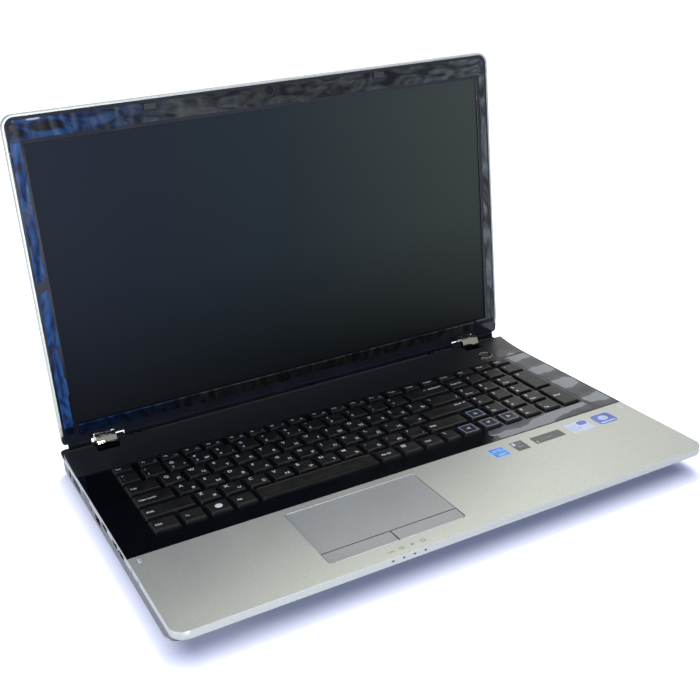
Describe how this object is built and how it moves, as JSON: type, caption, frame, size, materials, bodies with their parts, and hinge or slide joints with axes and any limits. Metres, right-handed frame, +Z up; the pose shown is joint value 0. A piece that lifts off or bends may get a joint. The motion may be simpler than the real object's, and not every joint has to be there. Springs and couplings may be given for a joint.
{
  "type": "open laptop computer",
  "caption": "Worn wide-screen laptop, opened, with full keyboard and number pad, touchpad, friction-hinged lid, sliding disc tray and removable battery.",
  "frame": {"origin": "on the table under the middle of the floor that the opened laptop covers", "axes": "+X to the right along the hinge line, +Y from the palm rest to the hinges, +Z up"},
  "size_m": [0.4108, 0.2814, 0.2818],
  "materials": {
    "silver_paint": "satin silver-grey paint on plastic",
    "dark_case": "fine-textured black plastic",
    "gloss_deck": "gloss black under peeling film",
    "textured_strip": "satin dark grey",
    "bezel_gloss": "gloss black under wrinkled film",
    "screen": "dark anti-glare screen",
    "key_caps": "satin black with white legends",
    "touchpad_skin": "matte silver-grey",
    "chrome_trim": "bright chrome",
    "steel_plate": "plain steel",
    "drive_metal": "bare metal",
    "chip_metal": "nickel",
    "copper": "copper",
    "circuit_board": "green solder mask",
    "port_metal": "bright steel shell",
    "port_plastic": "black moulding",
    "blue_plastic": "blue moulding",
    "screw_steel": "blackened steel",
    "foot_rubber": "black rubber",
    "light_lens": "smoked lens",
    "lens_gloss": "dark glass-like lens",
    "sticker_film": "printed paper label"
  },
  "bodies": {
    "base": {"bottom_case": "dark_case", "palm_rest": "silver_paint", "keyboard_deck": "gloss_deck", "rear_strip": "textured_strip", "keyboard_plate": "steel_plate", "touchpad": "touchpad_skin", "power_button_ring": "chrome_trim", "status_lights": "light_lens", "stickers": "sticker_film", "mainboard": "circuit_board", "processor": "chip_metal", "heatsink": "copper", "fan_housing": "dark_case", "hard_disk": "drive_metal", "memory_module": "circuit_board", "wireless_card": "circuit_board", "speakers": "dark_case", "optical_drive": "drive_metal", "hinge_bracket_left": "steel_plate", "hinge_bracket_right": "steel_plate", "dc_jack": "port_plastic", "lan_port": "port_plastic", "vga_port": "blue_plastic", "hdmi_port": "port_metal", "usb_ports": "port_metal", "audio_jacks": "port_plastic", "service_door": "dark_case", "case_screws": "screw_steel", "rubber_feet": "foot_rubber"},
    "lid": {"lid_back_cover": "silver_paint", "lid_bezel": "bezel_gloss", "lcd_panel": "screen", "webcam_board": "circuit_board", "webcam_lens": "lens_gloss", "lid_bumpers": "foot_rubber", "hinge_arm_left": "steel_plate", "hinge_arm_right": "steel_plate", "hinge_cap_left": "chrome_trim", "hinge_cap_right": "chrome_trim"},
    "battery": {"battery": "dark_case"},
    "battery_latch": {"battery_latch": "dark_case"},
    "drive_tray": {"drive_tray": "dark_case"},
    "eject_button": {"eject_button": "dark_case"},
    "touchpad_button_left": {"touchpad_button_left": "touchpad_skin"},
    "touchpad_button_right": {"touchpad_button_right": "touchpad_skin"},
    "power_button": {"power_button": "dark_case"},
    "fan_rotor": {"fan_rotor": "dark_case"},
    "keys_function_row": {"keys_function_row": "key_caps"},
    "keys_number_row": {"keys_number_row": "key_caps"},
    "keys_tab_row": {"keys_tab_row": "key_caps"},
    "keys_home_row": {"keys_home_row": "key_caps"},
    "keys_shift_row": {"keys_shift_row": "key_caps"},
    "keys_bottom_row": {"keys_bottom_row": "key_caps"},
    "space_bar": {"space_bar": "key_caps"},
    "enter_key": {"enter_key": "key_caps"},
    "backspace_key": {"backspace_key": "key_caps"},
    "numpad_plus_key": {"numpad_plus_key": "key_caps"},
    "numpad_enter_key": {"numpad_enter_key": "key_caps"}
  },
  "joints": [
    {"name": "lid_hinge", "type": "hinge", "parent": "base", "child": "lid", "pos_m": [0, 0.12024, 0.0254], "axis": [1, 0, 0], "range_deg": [-42, 93]},
    {"name": "battery_slide", "type": "slide", "parent": "base", "child": "battery", "axis": [0, 1, 0], "range_m": [0, 0.06]},
    {"name": "battery_latch_slide", "type": "slide", "parent": "base", "child": "battery_latch", "axis": [1, 0, 0], "range_m": [0, 0.005], "stiffness_N_per_m": 300, "springref_m": -0.003},
    {"name": "drive_tray_slide", "type": "slide", "parent": "base", "child": "drive_tray", "axis": [1, 0, 0], "range_m": [0, 0.12]},
    {"name": "eject_press", "type": "slide", "parent": "drive_tray", "child": "eject_button", "axis": [-1, 0, 0], "range_m": [0, 0.0005], "stiffness_N_per_m": 800, "springref_m": -0.0008},
    {"name": "touchpad_press_left", "type": "slide", "parent": "base", "child": "touchpad_button_left", "axis": [0, 0, -1], "range_m": [0, 0.0004], "stiffness_N_per_m": 1500, "springref_m": -0.0006},
    {"name": "touchpad_press_right", "type": "slide", "parent": "base", "child": "touchpad_button_right", "axis": [0, 0, -1], "range_m": [0, 0.0004], "stiffness_N_per_m": 1500, "springref_m": -0.0006},
    {"name": "power_press", "type": "slide", "parent": "base", "child": "power_button", "axis": [0, 0.0591, -0.9983], "range_m": [0, 0.001], "stiffness_N_per_m": 700, "springref_m": -0.001},
    {"name": "fan_spin", "type": "hinge", "parent": "base", "child": "fan_rotor", "pos_m": [-0.15585, 0.07554, 0.01], "axis": [0, 0, 1], "continuous": true},
    {"name": "function_row_press", "type": "slide", "parent": "base", "child": "keys_function_row", "axis": [0, 0, -1], "range_m": [0, 0.002], "stiffness_N_per_m": 700, "springref_m": -0.002},
    {"name": "number_row_press", "type": "slide", "parent": "base", "child": "keys_number_row", "axis": [0, 0, -1], "range_m": [0, 0.002], "stiffness_N_per_m": 700, "springref_m": -0.002},
    {"name": "tab_row_press", "type": "slide", "parent": "base", "child": "keys_tab_row", "axis": [0, 0, -1], "range_m": [0, 0.002], "stiffness_N_per_m": 700, "springref_m": -0.002},
    {"name": "home_row_press", "type": "slide", "parent": "base", "child": "keys_home_row", "axis": [0, 0, -1], "range_m": [0, 0.002], "stiffness_N_per_m": 700, "springref_m": -0.002},
    {"name": "shift_row_press", "type": "slide", "parent": "base", "child": "keys_shift_row", "axis": [0, 0, -1], "range_m": [0, 0.002], "stiffness_N_per_m": 700, "springref_m": -0.002},
    {"name": "bottom_row_press", "type": "slide", "parent": "base", "child": "keys_bottom_row", "axis": [0, 0, -1], "range_m": [0, 0.002], "stiffness_N_per_m": 700, "springref_m": -0.002},
    {"name": "space_bar_press", "type": "slide", "parent": "base", "child": "space_bar", "axis": [0, 0, -1], "range_m": [0, 0.002], "stiffness_N_per_m": 700, "springref_m": -0.002},
    {"name": "enter_key_press", "type": "slide", "parent": "base", "child": "enter_key", "axis": [0, 0, -1], "range_m": [0, 0.002], "stiffness_N_per_m": 700, "springref_m": -0.002},
    {"name": "backspace_key_press", "type": "slide", "parent": "base", "child": "backspace_key", "axis": [0, 0, -1], "range_m": [0, 0.002], "stiffness_N_per_m": 700, "springref_m": -0.002},
    {"name": "numpad_plus_key_press", "type": "slide", "parent": "base", "child": "numpad_plus_key", "axis": [0, 0, -1], "range_m": [0, 0.002], "stiffness_N_per_m": 700, "springref_m": -0.002},
    {"name": "numpad_enter_key_press", "type": "slide", "parent": "base", "child": "numpad_enter_key", "axis": [0, 0, -1], "range_m": [0, 0.002], "stiffness_N_per_m": 700, "springref_m": -0.002}
  ]
}
